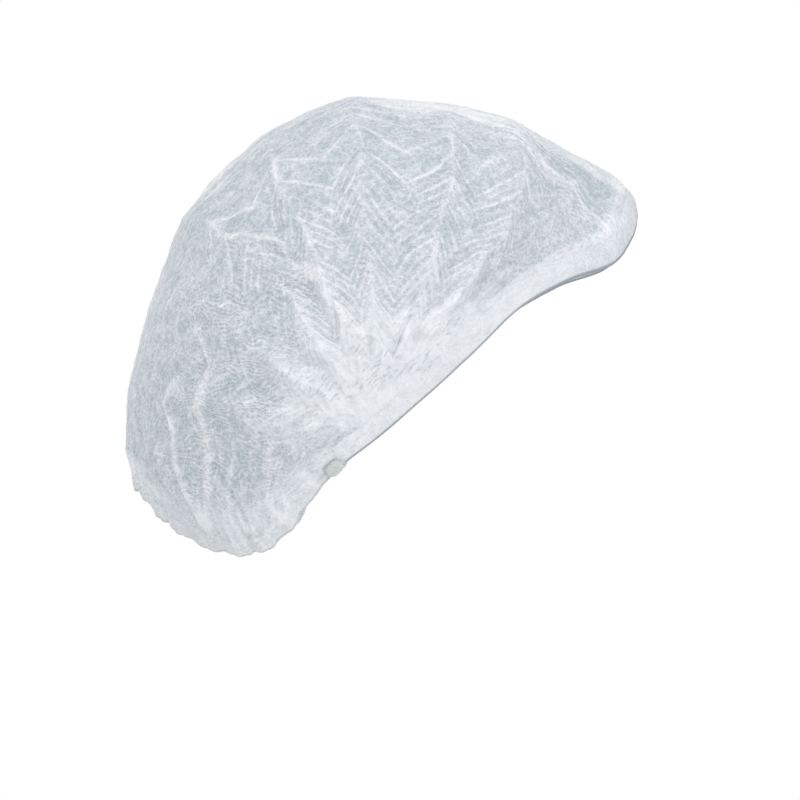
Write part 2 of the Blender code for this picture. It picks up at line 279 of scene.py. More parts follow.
def ridge_column(name, ridge):
    """A column of RIDGES at ridge numbers, half straight from ridge to ridge and half curved."""
    values = [row[RIDGE_COLUMNS.index(name)] for row in RIDGES]
    for row, angle in ((0, 0.0), (-1, math.pi)):
        if values[row] is None:
            point = hem_line(np.array([angle]))[0]
            values[row] = {
                "along": point @ ALONG / (RIM_LENGTH / 2),
                "above": point @ ABOVE / CROWN_RISE,
            }[name]
    knots = np.arange(len(RIDGES), dtype=float)
    values = np.array(values)
    curved = smooth_curve(knots, values, ridge, level_ends=False)
    return (np.interp(ridge, knots, values) + curved) / 2


def lobes(share):
    """Round lobes of uneven size with a notch between each two, from ear to neck.

    The absolute value of a sine, times the lobe's own size, plus a finer and lower one.
    """
    ruffles_a_side = 10
    wobble = 0.30 * np.sin(share * 9.1 + 1.0) + 0.16 * np.sin(share * 23.0)
    turns = ruffles_a_side * (1 - share) + wobble * share
    sizes = np.random.default_rng(17).uniform(0.35, 1.0, ruffles_a_side + 2)
    size = sizes[np.clip(np.floor(turns).astype(int), 0, ruffles_a_side + 1)]
    round_ones = 1.3 * size * np.abs(np.sin(math.pi * turns))
    small_ones = 0.28 * np.abs(np.sin(math.pi * (2.6 * turns + 0.3)))
    return (round_ones + small_ones) * np.clip(3 * share, 0, 1)


def ruffled_edge(angle):
    """The cloth's edge with the neck's ruffles, the way the cloth leaves it, the hem, and out.

    Each lobe stands out from the edge and hangs below it.
    """
    edge, rise, hem = edge_frame(angle)
    step = math.radians(0.5)
    tangent = edge_points(angle + step)[0] - edge_points(angle - step)[0]
    outward = unit(np.cross(tangent, rise))
    fine = np.linspace(LAST_PLEAT_ANGLE, math.pi, 400)
    run = np.cumsum(np.linalg.norm(np.diff(edge_frame(fine)[0], axis=0), axis=1))
    share = np.interp(np.abs(angle), fine[1:], run / run[-1], left=0.0)
    wave = lobes(share)[:, None]
    edge = edge + RUFFLE_DEPTH * wave * outward - RUFFLE_SCALLOP * wave * rise
    return edge, rise, hem, outward


def striations(share, up, side):
    """Fine upright creases: 1 on a crease, falling to 0 beside it.

    They lie where smooth noise crosses 0. share is that of the edge from ear to neck, up the
    height above the hem in ridge numbers.
    """
    places = np.stack([STREAKS_PER_SIDE * share, 1.2 * up, side], axis=-1)
    return smooth_step(0.25, 0.0, np.abs(noise(places, 1.0, 8)))


def build_mesh(name, points, faces):
    """An object with that mesh, shaded smooth, in the scene and riding on the body."""
    mesh = bpy.data.meshes.new(name)
    mesh.from_pydata(points.tolist(), [], faces.tolist())
    mesh.shade_smooth()
    item = bpy.data.objects.new(name, mesh)
    bpy.context.scene.collection.objects.link(item)
    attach(item, "root")
    return item


def grid_faces(index):
    """Quads between neighbouring entries of a grid of vertex numbers."""
    corners = (index[:-1, :-1], index[1:, :-1], index[1:, 1:], index[:-1, 1:])
    return np.stack(corners, axis=-1).reshape(-1, 4)


def set_attribute(item, name, values):
    """One number for each vertex, which the material reads by its name."""
    layer = item.data.attributes.new(name, "FLOAT", "POINT")
    layer.data.foreach_set("value", np.asarray(values, dtype=np.float32).ravel())


def hex_colour(code):
    """Linear red, green, blue and alpha of an sRGB hex colour such as 'D3DBE1'."""
    srgb = np.array([int(code[i : i + 2], 16) / 255 for i in (0, 2, 4)])
    linear = np.where(srgb <= 0.04045, srgb / 12.92, ((srgb + 0.055) / 1.055) ** 2.4)
    return (*linear, 1.0)


def add_node(tree, kind, sockets=None, **settings):
    """Adds a node with its settings. sockets maps an input's name or number to a value or to
    the output that is linked to it."""
    made = tree.nodes.new(kind)
    for name, value in settings.items():
        setattr(made, name, value)
    for key, value in (sockets or {}).items():
        if isinstance(value, bpy.types.NodeSocket):
            tree.links.new(value, made.inputs[key])
        else:
            made.inputs[key].default_value = value
    return made


def cloth_material(name, thin, thick, clear, contrast, glow=0.3):
    """Non-woven cloth: a thin felt of fibres, matt, that light comes through.

    It is whiter where folds and gathers lay fibres over each other, and a little see-through
    where it is thin. The fibres show as short curled streaks, and crimps as fine ripples.
    glow is the share of the light that comes through from behind.
    """
    made = bpy.data.materials.new(name)
    made.use_nodes = True
    tree = made.node_tree
    tree.nodes.clear()
    places = add_node(tree, "ShaderNodeTexCoord").outputs["Object"]
    white = add_node(tree, "ShaderNodeAttribute", attribute_name="gathered").outputs["Fac"]
    fading = add_node(
        tree, "ShaderNodeMapRange", {"Value": white, "To Min": 1.0, "To Max": 0.35}
    ).outputs[0]
    # Curled streaks: the contour lines of a cloud pattern, with cells of 4 and 2 mm. The fibres
    # themselves are 0.02 mm thick, too fine to show, so these are bundles of them.
    density = 0.0
    for scale, weight, seed in ((250.0, 0.12, 0.0), (470.0, 0.11, 5.0)):
        cloud = add_node(
            tree, "ShaderNodeTexNoise",
            {"Vector": places, "W": seed, "Scale": scale, "Detail": 1.5, "Roughness": 0.5,
             "Distortion": 0.4}, noise_dimensions="4D",
        ).outputs[0]
        off = add_node(tree, "ShaderNodeMath", {0: cloud, 1: 0.5}, operation="SUBTRACT").outputs[0]
        off = add_node(tree, "ShaderNodeMath", {0: off}, operation="ABSOLUTE").outputs[0]
        streak = add_node(
            tree, "ShaderNodeMapRange",
            {"Value": off, "From Min": 0.0, "From Max": 0.12, "To Min": weight * contrast,
             "To Max": -weight * contrast},
            interpolation_type="SMOOTHSTEP",
        ).outputs[0]
        density = add_node(tree, "ShaderNodeMath", {0: streak, 1: density}).outputs[0]
    # Crimps: wandering ripples 2.3 mm apart, in patches
    ripples = add_node(
        tree, "ShaderNodeTexWave",
        {"Vector": places, "Scale": 137.0, "Distortion": 26.0, "Detail": 1.0, "Detail Scale": 0.55},
        wave_type="BANDS", bands_direction="Z",
    ).outputs["Fac"]
    ripples = add_node(
        tree, "ShaderNodeMath", {0: ripples, 1: 0.27 * contrast, 2: -0.12 * contrast},
        operation="MULTIPLY_ADD",
    ).outputs[0]
    patches = add_node(
        tree, "ShaderNodeTexNoise",
        {"Vector": places, "Scale": 60.0, "Detail": 1.0, "Roughness": 0.5},
    ).outputs[0]
    patches = add_node(
        tree, "ShaderNodeMapRange",
        {"Value": patches, "From Min": 0.38, "From Max": 0.54}, interpolation_type="SMOOTHSTEP",
    ).outputs[0]
    crimped = add_node(tree, "ShaderNodeAttribute", attribute_name="crimped").outputs["Fac"]
    patches = add_node(
        tree, "ShaderNodeMath", {0: patches, 1: crimped}, operation="MULTIPLY"
    ).outputs[0]
    density = add_node(
        tree, "ShaderNodeMath", {0: ripples, 1: patches, 2: density}, operation="MULTIPLY_ADD"
    ).outputs[0]
    density = add_node(
        tree, "ShaderNodeMath", {0: density, 1: fading, 2: 0.32}, operation="MULTIPLY_ADD"
    ).outputs[0]
    # Clouds of denser and thinner cloth, 5 to 15 mm wide
    cloud = add_node(
        tree, "ShaderNodeTexNoise",
        {"Vector": places, "Scale": 110.0, "Detail": 3.0, "Roughness": 0.6},
    ).outputs[0]
    mottle = add_node(
        tree, "ShaderNodeMath", {0: cloud, 1: 0.75, 2: -0.375}, operation="MULTIPLY_ADD"
    ).outputs[0]
    density = add_node(tree, "ShaderNodeMath", {0: mottle, 1: density}).outputs[0]
    # Long thin creases that wander over the cloth, where it was crushed
    cloud = add_node(
        tree, "ShaderNodeTexNoise",
        {"Vector": places, "Scale": 75.0, "Detail": 2.0, "Roughness": 0.45, "Distortion": 0.8},
    ).outputs[0]
    off = add_node(tree, "ShaderNodeMath", {0: cloud, 1: 0.5}, operation="SUBTRACT").outputs[0]
    off = add_node(tree, "ShaderNodeMath", {0: off}, operation="ABSOLUTE").outputs[0]
    crush = add_node(
        tree, "ShaderNodeMapRange",
        {"Value": off, "From Min": 0.002, "From Max": 0.02, "To Min": 0.14 * contrast, "To Max": 0.0},
        interpolation_type="SMOOTHSTEP",
    ).outputs[0]
    density = add_node(tree, "ShaderNodeMath", {0: crush, 1: density}).outputs[0]
    # Short dark dashes among the gathers: ripples 2.5 mm apart along the front hem, broken up,
    # in clusters
    turned = add_node(
        tree, "ShaderNodeMapping", {"Vector": places, "Rotation": (0.0, 0.65, 0.0)}
    ).outputs[0]
    dents = add_node(
        tree, "ShaderNodeTexWave",
        {"Vector": turned, "Scale": 126.0, "Distortion": 12.0, "Detail": 1.0, "Detail Scale": 0.6},
        wave_type="BANDS", bands_direction="Z",
    ).outputs["Fac"]
    dents = add_node(
        tree, "ShaderNodeMapRange",
        {"Value": dents, "From Min": 0.0, "From Max": 0.6, "To Min": -0.36 * contrast, "To Max": 0.0},
        interpolation_type="SMOOTHSTEP",
    ).outputs[0]
    for scale, low, high in ((270.0, 0.47, 0.60), (48.0, 0.46, 0.57)):
        cloud = add_node(
            tree, "ShaderNodeTexNoise", {"Vector": places, "Scale": scale, "Detail": 0.0}
        ).outputs[0]
        dented = add_node(
            tree, "ShaderNodeMapRange", {"Value": cloud, "From Min": low, "From Max": high},
            interpolation_type="SMOOTHSTEP",
        ).outputs[0]
        dents = add_node(
            tree, "ShaderNodeMath", {0: dents, 1: dented}, operation="MULTIPLY"
        ).outputs[0]
    density = add_node(
        tree, "ShaderNodeMath", {0: dents, 1: white, 2: density}, operation="MULTIPLY_ADD"
    ).outputs[0]
    lines = add_node(tree, "ShaderNodeAttribute", attribute_name="fold_line").outputs["Fac"]
    density = add_node(
        tree, "ShaderNodeMath", {0: lines, 1: 0.62, 2: density}, operation="MULTIPLY_ADD"
    ).outputs[0]
    # The long crease over the front pleats, and fainter ones beside it
    crest = add_node(tree, "ShaderNodeAttribute", attribute_name="crest").outputs["Fac"]
    for at, width, weight in ((0.0, 2.6, 0.32), (3.4, 1.6, 0.2), (-3.4, 1.3, 0.2), (-6.2, 1.3, 0.2)):
        off = add_node(tree, "ShaderNodeMath", {0: crest, 1: at}, operation="SUBTRACT").outputs[0]
        off = add_node(tree, "ShaderNodeMath", {0: off}, operation="ABSOLUTE").outputs[0]
        line = add_node(
            tree, "ShaderNodeMapRange",
            {"Value": off, "From Min": 0.0, "From Max": width, "To Min": weight, "To Max": 0.0},
            interpolation_type="SMOOTHSTEP",
        ).outputs[0]
        density = add_node(tree, "ShaderNodeMath", {0: line, 1: density}).outputs[0]
    height = density
    density = add_node(
        tree, "ShaderNodeMath", {0: white, 1: 0.66, 2: density}, operation="MULTIPLY_ADD",
        use_clamp=True,
    ).outputs[0]
    colour = add_node(
        tree, "ShaderNodeMix", {"Factor": density, 6: hex_colour(thin), 7: hex_colour(thick)},
        data_type="RGBA",
    ).outputs[2]
    # Painted shade: a grey line along the underside of the fold, where shade falls below the hem
    fold_underside_shade = add_node(tree, "ShaderNodeAttribute", attribute_name="fold_underside_shade").outputs["Fac"]
    colour = add_node(
        tree, "ShaderNodeMix", {"Factor": fold_underside_shade, 6: colour, 7: hex_colour("8F989F")},
        data_type="RGBA",
    ).outputs[2]
    bump = add_node(
        tree, "ShaderNodeBump", {"Height": height, "Strength": 0.9, "Distance": 0.0010}
    ).outputs["Normal"]
    surface = add_node(
        tree, "ShaderNodeBsdfPrincipled",
        {"Base Color": colour, "Normal": bump, "Roughness": 0.85, "IOR": 1.49,
         "Specular IOR Level": 0.25, "Sheen Weight": 0.15, "Sheen Roughness": 0.5},
    ).outputs[0]
    through = add_node(
        tree, "ShaderNodeBsdfTranslucent", {"Color": colour, "Normal": bump}
    ).outputs[0]
    lit = add_node(
        tree, "ShaderNodeMixShader", {"Fac": glow, 1: surface, 2: through}
    ).outputs[0]
    holes = add_node(
        tree, "ShaderNodeMapRange",
        {"Value": density, "From Min": 0.0, "From Max": 0.6, "To Min": clear, "To Max": 0.0},
    ).outputs[0]
    gap = add_node(tree, "ShaderNodeBsdfTransparent").outputs[0]
    whole = add_node(tree, "ShaderNodeMixShader", {"Fac": holes, 1: lit, 2: gap}).outputs[0]
    add_node(tree, "ShaderNodeOutputMaterial", {"Surface": whole})
    return made


# The crown is a grid of pleat rows by columns from the right ear to the left. Each row leaves the
# hem line at the ear, swells to its width and closes over the middle of the cap: half of a
# lengthened ellipse, bowed forward. Between two ridges the row sinks into a pleat. Along a column
# runs one place of the chevron pattern, so the columns climb at each ridge and fall in each
# pleat, and every crease lies on a column of its own.

# Rows: each fold, from a ridge to a pleat's bottom or back, gets the same number of rows
valley = RIDGE_COLUMNS.index("valley")
valleys = [number + row[valley] for number, row in enumerate(RIDGES[:-1])]
folds = np.sort(np.concatenate([np.arange(len(RIDGES)), valleys]))
row_steps = np.arange((len(folds) - 1) * STEPS_PER_FOLD + 1) / STEPS_PER_FOLD
ridge = np.interp(row_steps, np.arange(len(folds)), folds)
# 1 on a ridge and 0 at the bottom of a pleat, straight between them
height = np.abs(1 - row_steps % 2)

# Columns: from the ear, where fall is 1, to the middle, where it is 0
crease_fall = np.arange(CREASES + 1) / CREASES
crease_turn = np.arcsin(1 - crease_fall * (1 - math.sin(EAR_TURN)))
counts = np.maximum(7, np.ceil(-np.diff(crease_turn) * CROWN_WIDTH / 2 / COLUMN_STEP))
turns = np.concatenate(
    [np.linspace(a, b, int(n), endpoint=False)
     for a, b, n in zip(crease_turn[:-1], crease_turn[1:], counts)] + [[EAR_TURN]]
)
half_fall = (1 - np.sin(turns)) / (1 - math.sin(EAR_TURN))
fall = np.concatenate([half_fall[::-1], half_fall[1:]])
side = np.concatenate([-np.ones(len(turns)), np.ones(len(turns) - 1)])
# Share of the edge's length from the ear to the middle that belongs to each column
inward = np.concatenate([turns[::-1], turns[1:]])
inward = (inward - EAR_TURN) / (math.pi / 2 - EAR_TURN)

chevrons = smooth_step(0.3, 1.0, ridge) * smooth_step(9.0, 7.5, ridge)
steady = smooth_step(0.0, 0.25, fall) * smooth_step(1.0, 0.75, fall)
climb = CREASE_CLIMB / CREASES * (height - 0.5)[:, None] * chevrons[:, None] * steady
place = np.clip(fall - climb, 0, 1)
reach = 1 - place

ear = hem_line(FIRST_PLEAT_ANGLE + (LAST_PLEAT_ANGLE - FIRST_PLEAT_ANGLE) * ridge / 10)
width = ridge_column("width", ridge) * CROWN_WIDTH / 2
low = -np.sqrt(1 - (ear[:, 1] / width) ** 2)[:, None]
sine = low + reach * (1 - low)
middle = ridge_column("along", ridge)[:, None] * ALONG * RIM_LENGTH / 2
middle = middle + ridge_column("above", ridge)[:, None] * ABOVE * CROWN_RISE
line = (middle - ear) * [1, 0, 1]
forward = np.cross(LEFT, line)
# reach^2 (1 - reach) is 4/27 at most, so times 6.75 it brings the bow up to the bend
bow = ridge_column("bend", ridge)[:, None] * 6.75 * reach**2 * (1 - reach)
grid = ear[:, None] + reach[..., None] * line[:, None] + bow[..., None] * forward[:, None]
grid[..., 1] = width[:, None] * np.sqrt(np.clip(1 - sine**2, 0, 1)) * side

down = ridge / 10
for hem_row, first, last in ((0, FIRST_PLEAT_ANGLE, 0.0), (-1, LAST_PLEAT_ANGLE, math.pi)):
    whole = hem_line(angles_at(first, last, inward))
    whole[:, 1] *= side
    share = down if hem_row else 1 - down
    blend = np.clip((share - 0.7) / 0.3, 0, 1) ** 2
    grid += blend[:, None, None] * (whole - grid[hem_row])

normals = unit(np.cross(np.gradient(grid, axis=1), np.gradient(grid, axis=0)))
smooth = grid.copy()
away = smooth_step(0.0, 0.35, ridge) * smooth_step(10.0, 9.65, ridge)
away = away[:, None] * smooth_step(1.0, 0.97, fall)

# The cloth was handled: every fold wanders a little along the surface
drift = np.stack([noise(smooth, 0.028, seed) for seed in (21, 22, 23)], axis=-1)
drift += 0.4 * np.stack([noise(smooth, 0.011, seed) for seed in (24, 25, 26)], axis=-1)
drift -= np.sum(drift * normals, axis=-1, keepdims=True) * normals
grid += DRIFT * drift * (away * smooth_step(0.05, 0.5, 1 - np.abs(2 * fall - 1)))[..., None]

# Pleats: sharp at the ridge and round at the bottom
depth = ridge_column("depth", ridge)[:, None] / 1000
sink = depth * (4 * reach * (1 - reach)) ** 0.8 * (1 - height**1.6)[:, None]
sink = sink * (0.12 + 0.88 * smooth_step(0.9, 0.6, fall))

# Chevron creases: every second one stands up and the others lie down
phase = fall * CREASES
tent = 2 * np.abs(phase / 2 - np.round(phase / 2))
strength = ridge_column("crease", ridge)[:, None] * smooth_step(0.05, 0.12, fall)
strength = np.clip(strength * smooth_step(0.92, 0.7, fall), 0, 1)
relief = CREASE_RELIEF * (1 - 2 * tent) * strength
column_turn = np.arcsin(1 - fall * (1 - math.sin(EAR_TURN)))
crease_at = np.interp(np.round(phase), np.arange(CREASES + 1), crease_turn)
on_crease = hat((column_turn - crease_at) * CROWN_WIDTH / 2, CREASE_HALF_WIDTH)
# Fainter creases half way between them
crease_at = np.interp(np.floor(phase) + 0.5, np.arange(CREASES + 1), crease_turn)
between = hat((column_turn - crease_at) * CROWN_WIDTH / 2, CREASE_HALF_WIDTH)
on_crease = np.maximum(on_crease, 0.5 * between * smooth_step(0.2, 0.3, fall))

# Gathers: wrinkles that run along the rows and crowd towards the ear
near_ear = smooth_step(0.55, 0.95, fall) * np.ones_like(reach)
flat = 0 * reach
lanes = np.stack([ridge[:, None] + flat, 7 * fall + flat, side + flat], axis=-1)
crowd = 1 - 2 * np.abs(noise(lanes, 0.45, 3)) + 0.5 * noise(lanes, 0.21, 4)
knots = 0.5 - np.abs(noise(smooth, 0.0065, 13)) + 0.6 * noise(smooth, 0.0042, 14)
gather = (WRINKLE_HEIGHT * crowd + KNOT_HEIGHT * knots) * near_ear

# Crumples: short arcs all over the cloth
arcs = 0.5 - np.abs(noise(smooth, 0.011, 5)) + 0.5 * (0.5 - np.abs(noise(smooth, 0.006, 6)))
crumple = CRUMPLE_HEIGHT * arcs + SWELL_HEIGHT * noise(smooth, 0.03, 7)

# Ruffles that the back hem draws up into the crown, and upright creases above them
ruffle_up = smooth_step(0.78, 1.0, down)[:, None]
ruffles = RUFFLE_DEPTH * lobes(inward) * ruffle_up
upright = smooth_step(0.58, 0.8, down)[:, None] * smooth_step(0.02, 0.1, fall)
streaks = striations(inward + flat, (10 - ridge)[:, None] + flat, side + flat) * upright
ruffles = ruffles + STREAK_HEIGHT * streaks * smooth_step(1.0, 0.94, down)[:, None]
long_lines = 0 * flat
for ridges, places, height_mm, line_share in UPRIGHTS:
    gap = inward - np.interp(ridge, ridges, places)[:, None] - 0.012 * noise(smooth, 0.02, 19)
    ends = smooth_step(ridges[0] - 0.3, ridges[0] + 0.1, ridge) * smooth_step(9.95, 9.7, ridge)
    ruffles = ruffles + 1.4 * height_mm / 1000 * hat(gap, 0.024) * ends[:, None]
    long_lines = long_lines + line_share * hat(gap, 0.018) * ends[:, None]

for falls, places, height_mm, line_share in GATHERED_FOLDS:
    gap = ridge[:, None] - np.interp(fall, falls, places) - 0.25 * noise(smooth, 0.012, 20)
    ends = smooth_step(falls[0] - 0.04, falls[0] + 0.03, fall)
    ends = ends * smooth_step(falls[-1] + 0.03, falls[-1] - 0.02, fall)
    ruffles = ruffles + height_mm / 1000 * hat(gap, 0.28) * ends * away
    long_lines = long_lines + line_share * hat(gap, 0.14) * ends

lift = (relief + gather + crumple - sink) * away + ruffles * np.clip(away + ruffle_up, 0, 1)
grid += lift[..., None] * normals

# How white each place looks: folds and gathers hold several layers of fibres
ridge_line = hat(1 - height, 1.5 / STEPS_PER_FOLD)[:, None] * smooth_step(0.02, 0.2, fall)
ridge_line = ridge_line * smooth_step(0.85, 0.55, fall)
ridge_line = ridge_line * ridge_column("line", ridge)[:, None]
ridge_line = ridge_line * (1 - upright)
broken = np.clip(0.78 + 0.8 * noise(smooth, 0.011, 9), 0, 1.3)
lines = np.maximum(0.85 * ridge_line, 0.95 * on_crease * strength) * broken
lines = np.maximum(lines, 0.38 * streaks) + long_lines * (0.5 + 0.5 * broken)
# Fine streaks along the middle of the crown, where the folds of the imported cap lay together
along_middle = np.stack([90 * inward + flat, 0.8 * ridge[:, None] + flat, side + flat], axis=-1)
middle_streaks = smooth_step(0.3, 0.0, np.abs(noise(along_middle, 1.0, 16)))
lines = lines + 0.4 * middle_streaks * smooth_step(0.15, 0.08, fall) * chevrons[:, None]
white = smooth_step(0.5, 0.88, fall) * smooth_step(9.5, 7.5, ridge)[:, None]
white = white * (0.95 + 0.1 * crowd - 0.25 * smooth_step(0.15, 0.5, noise(smooth, 0.009, 15)))
# Thinner over the top and the back, thicker at the front, and double at the hems
white = white - 0.28 * smooth_step(0.35, 0.05, fall) * smooth_step(2.5, 4.5, ridge)[:, None]
white = white + 0.12 * smooth_step(0.08, 0.2, fall) * smooth_step(3.6, 1.5, ridge)[:, None]
white = np.maximum(white, 0.75 * smooth_step(0.3, 0.0, ridge)[:, None] + flat)
white = np.maximum(white, 0.55 * smooth_step(8.9, 9.9, ridge)[:, None] + flat)
# Along the middle of the front the sheet lies double and smooth; beside that it is darkened, painted
# shade along the fold
crest_fall = np.interp(ridge, [0, 1, 1.6, 2.4, 3, 4], [0.135, 0.1, 0.068, 0.045, 0.03, 0.0])
band_fall = np.interp(ridge, [0, 1, 2, 4], [0.012, 0.022, 0.04, 0.045])[:, None]
band = smooth_step(1.3, 0.7, fall / band_fall) * smooth_step(4.3, 3.0, ridge)[:, None]
shade = smooth_step(1.0, 1.5, fall / band_fall) * smooth_step(2.9, 2.0, ridge)[:, None]
shade = shade * smooth_step(-1.0, -3.0, (fall - crest_fall[:, None]) * FRONT_SPAN)
white = np.clip(white + 0.45 * band, -0.2, 1) - 0.2 * shade

# Distance from the long crease that crosses the front pleats, in millimetres
crest = (fall - crest_fall[:, None]) * FRONT_SPAN

# Fine crimps, which the packing pressed into the back and the ears
crimped = smooth_step(4.0, 6.0, ridge) * smooth_step(9.8, 8.8, ridge)
crimped = crimped[:, None] * smooth_step(0.05, 0.3, fall)
crimped = np.maximum(crimped, 0.8 * smooth_step(0.35, 0.65, fall))
crimped = crimped * (1 - 0.7 * np.clip(white, 0, 1))

# The border of the grid, all round the rim, and a skirt from there down to the fold
rows, columns = grid.shape[:2]
index = np.arange(rows * columns).reshape(rows, columns)
front_angles = angles_at(FIRST_PLEAT_ANGLE, 0.0, inward) * side
back_angles = angles_at(LAST_PLEAT_ANGLE, math.pi, inward) * side
ear_angles = FIRST_PLEAT_ANGLE + (LAST_PLEAT_ANGLE - FIRST_PLEAT_ANGLE) * ridge / 10
ring = np.concatenate([index[0], index[1:, -1], index[-1, -2::-1], index[-2:0:-1, 0]])
ring_angles = np.concatenate([
    front_angles, ear_angles[1:], back_angles[-2::-1], -ear_angles[-2:0:-1]
])
rim_edge, rim_rise, rim_hem, _ = ruffled_edge(ring_angles)
rim_top = rim_edge + rim_rise * (rim_hem + HEM_STAND_OFF)
# The rows and columns beside the border follow it to the ruffled edge
shift = np.zeros_like(grid)
shift.reshape(-1, 3)[ring] = rim_top - grid.reshape(-1, 3)[ring]
from_front = np.arange(rows)[:, None, None]
front_share = smooth_step(FRONT_BORDER, 0, from_front)
back_share = smooth_step(BACK_BORDER, 0, rows - 1 - from_front)
from_right = np.arange(columns)[None, :, None]
side_share = (1 - front_share) * (1 - back_share)
right_share = smooth_step(SIDE_BORDER, 0, from_right) * side_share
left_share = smooth_step(SIDE_BORDER, 0, columns - 1 - from_right) * side_share
grid += shift[:1] * front_share + shift[-1:] * back_share
grid += shift[:, :1] * right_share + shift[:, -1:] * left_share
grid.reshape(-1, 3)[ring] = rim_top

# Above the neck the rows leave the border in line with the hem, and turn from there
leaving = grid[: -LEAVING_ROWS - 1 : -1]
back_rise = rim_rise[columns + rows - 2 : 2 * columns + rows - 2][::-1]
away_from_hem = np.linalg.norm(leaving - leaving[0], axis=-1, keepdims=True)
share = smooth_step(1, 0, np.linspace(0, 1, LEAVING_ROWS))[:, None, None]
share = 0.6 * share * smooth_step(0.1, 0.3, inward)[:, None]
in_line = leaving[0] + away_from_hem * back_rise
grid[: -LEAVING_ROWS - 1 : -1] = leaving + share * (in_line - leaving)
grid.reshape(-1, 3)[ring] = rim_top
skirt = [rim_top + (rim_edge - rim_top) * step / RIM_STEPS for step in range(1, RIM_STEPS + 1)]
ring_index = np.concatenate(
    [ring[None], rows * columns + np.arange(RIM_STEPS * len(ring)).reshape(RIM_STEPS, -1)]
)
ring_index = np.concatenate([ring_index, ring_index[:, :1]], axis=1)
crown_faces = np.concatenate([grid_faces(index), grid_faces(ring_index.T)])
crown = build_mesh("crown_cloth", np.concatenate([grid.reshape(-1, 3), *skirt]), crown_faces)
for name, values in (
    ("fold_line", lines), ("gathered", white), ("crest", crest), ("crimped", crimped),
):
    skirt_values = np.tile(values.ravel()[ring], RIM_STEPS)
    set_attribute(crown, name, np.concatenate([values.ravel(), skirt_values]))
# Spun-bonded polypropylene: matt, with curled fibres, blue-grey where thin, white where folded
crown.data.materials.append(cloth_material("spun_bonded_nonwoven", "B5C1C9", "FAFBFE", 0.2, 1.0))
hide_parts("crown")

# Hems
# Two strips of the same cloth, one round the front and one round the neck, are folded over the
# crown's edge, round the rubber thread, and welded. The front one lies smooth and white, and
# the back one is drawn up into ruffles.

HEM_TURN_IN = 0.006
FOLD_RADIUS = 0.0013
HEM_STEP = 0.0013
# The edge's length all round, as the stations along it are counted
HEM_LENGTH = 0.8
INNER_POINTS = 4
# How far the front hem bows out at the forehead, and the angles between which that fades
HEM_BOW = 0.0014
HEM_BOW_START = math.radians(15)
HEM_BOW_END = math.radians(75)


def build_hem(name, first, last, ruffled):
    """A strip whose profile is carried along the edge.

    The profile runs down the outside, from where it hugs the crown out to the fold, then round
    a half circle and a short way up the inside.
    """
    count = int(np.ceil(HEM_LENGTH / HEM_STEP * (last - first) / (2 * math.pi)))
    angles = np.linspace(first, last, count)
    wrapped = np.where(angles > math.pi, angles - 2 * math.pi, angles)
    edge, rise, hem, outward = ruffled_edge(wrapped)
    legs = np.array([1.0, 0.9, 0.78, 0.64, 0.5, 0.36, 0.22, 0.1, 0.045, 0.0])
    arc = np.linspace(0, math.pi, 9)[1:-1]
    inside = np.linspace(0, 1, INNER_POINTS)
    folded_part = np.zeros(len(arc) + INNER_POINTS)
    out = np.concatenate([-0.12 + 1.12 * (1 - legs) ** 0.7, np.cos(arc), -np.ones(INNER_POINTS)])
    out *= FOLD_RADIUS
    up = np.concatenate([legs, folded_part])
    # Painted shade along the bottom of the fold: the end of the outer leg and most of the half circle
    fold_underside_shade = np.concatenate([np.zeros(8), [0.6, 1.0], smooth_step(2.9, 2.3, arc), 0 * inside])
    low = np.concatenate([0 * legs, -np.sin(arc) * FOLD_RADIUS, inside * HEM_TURN_IN])
    lines = 0 * angles
    bow = 0 * angles if ruffled else smooth_step(HEM_BOW_END, HEM_BOW_START, np.abs(wrapped))
    if ruffled:
        run = np.concatenate([[0], np.cumsum(np.linalg.norm(np.diff(edge, axis=0), axis=1))])
        share = 1 - np.abs(2 * run / run[-1] - 1)
        lines = 0.3 * striations(share, 0 * share, np.where(run < run[-1] / 2, 1.0, -1.0))
    bow = HEM_BOW * bow[:, None] * np.concatenate([4 * legs * (1 - legs), folded_part])
    points = (
        edge[:, None]
        + (out + bow)[..., None] * outward[:, None]
        + (up[None, :, None] * hem[:, None] + low[None, :, None]) * rise[:, None]
    )
    rough = noise(points, 0.007, 11) * 0.0002 + noise(points, 0.02, 12) * 0.0004
    rough *= np.concatenate([1 - legs, 1 + folded_part])
    points += rough[..., None] * outward[:, None] * np.sign(out)[None, :, None]
    stations = np.arange(points.shape[0] * points.shape[1]).reshape(points.shape[:2])
    item = build_mesh(name, points.reshape(-1, 3), grid_faces(stations))
    set_attribute(item, "fold_line", np.repeat(lines, points.shape[1]))
    near_ear = smooth_step(math.radians(30), math.radians(70), np.abs(wrapped))
    white = 0.55 + 0 * angles if ruffled else 0.05 + 0.6 * near_ear
    set_attribute(item, "gathered", np.repeat(white, points.shape[1]))
    # The painted shade under the fold is stronger on the smooth front hem than on the ruffled back
    # one
    fold_shade_strength = 0.35 if ruffled else 0.85
    set_attribute(item, "fold_underside_shade", fold_shade_strength * np.tile(fold_underside_shade, len(angles)))
    set_attribute(item, "crest", np.full(stations.size, 99.0))
    return item


front_hem = build_hem("front_hem_fold", -LAST_PLEAT_ANGLE, LAST_PLEAT_ANGLE, False)
back_hem = build_hem("back_hem_fold", LAST_PLEAT_ANGLE, 2 * math.pi - LAST_PLEAT_ANGLE, True)
# The same cloth lying double and smooth at the front, so it is whiter, with the fibres fainter
folded = cloth_material("folded_nonwoven_hem", "CDD4DC", "F8F9FC", 0.0, 0.85, glow=0.1)
# The same cloth drawn up at the neck, with its fibres and small creases still showing
ruched = cloth_material("ruffled_nonwoven_hem", "C1CCD3", "FAFBFD", 0.0, 1.0, glow=0.15)
for item, node, cloth in (
    (front_hem, "front_hem", folded), (back_hem, "back_hem", ruched),
):
    item.data.materials.append(cloth)
    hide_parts(node)

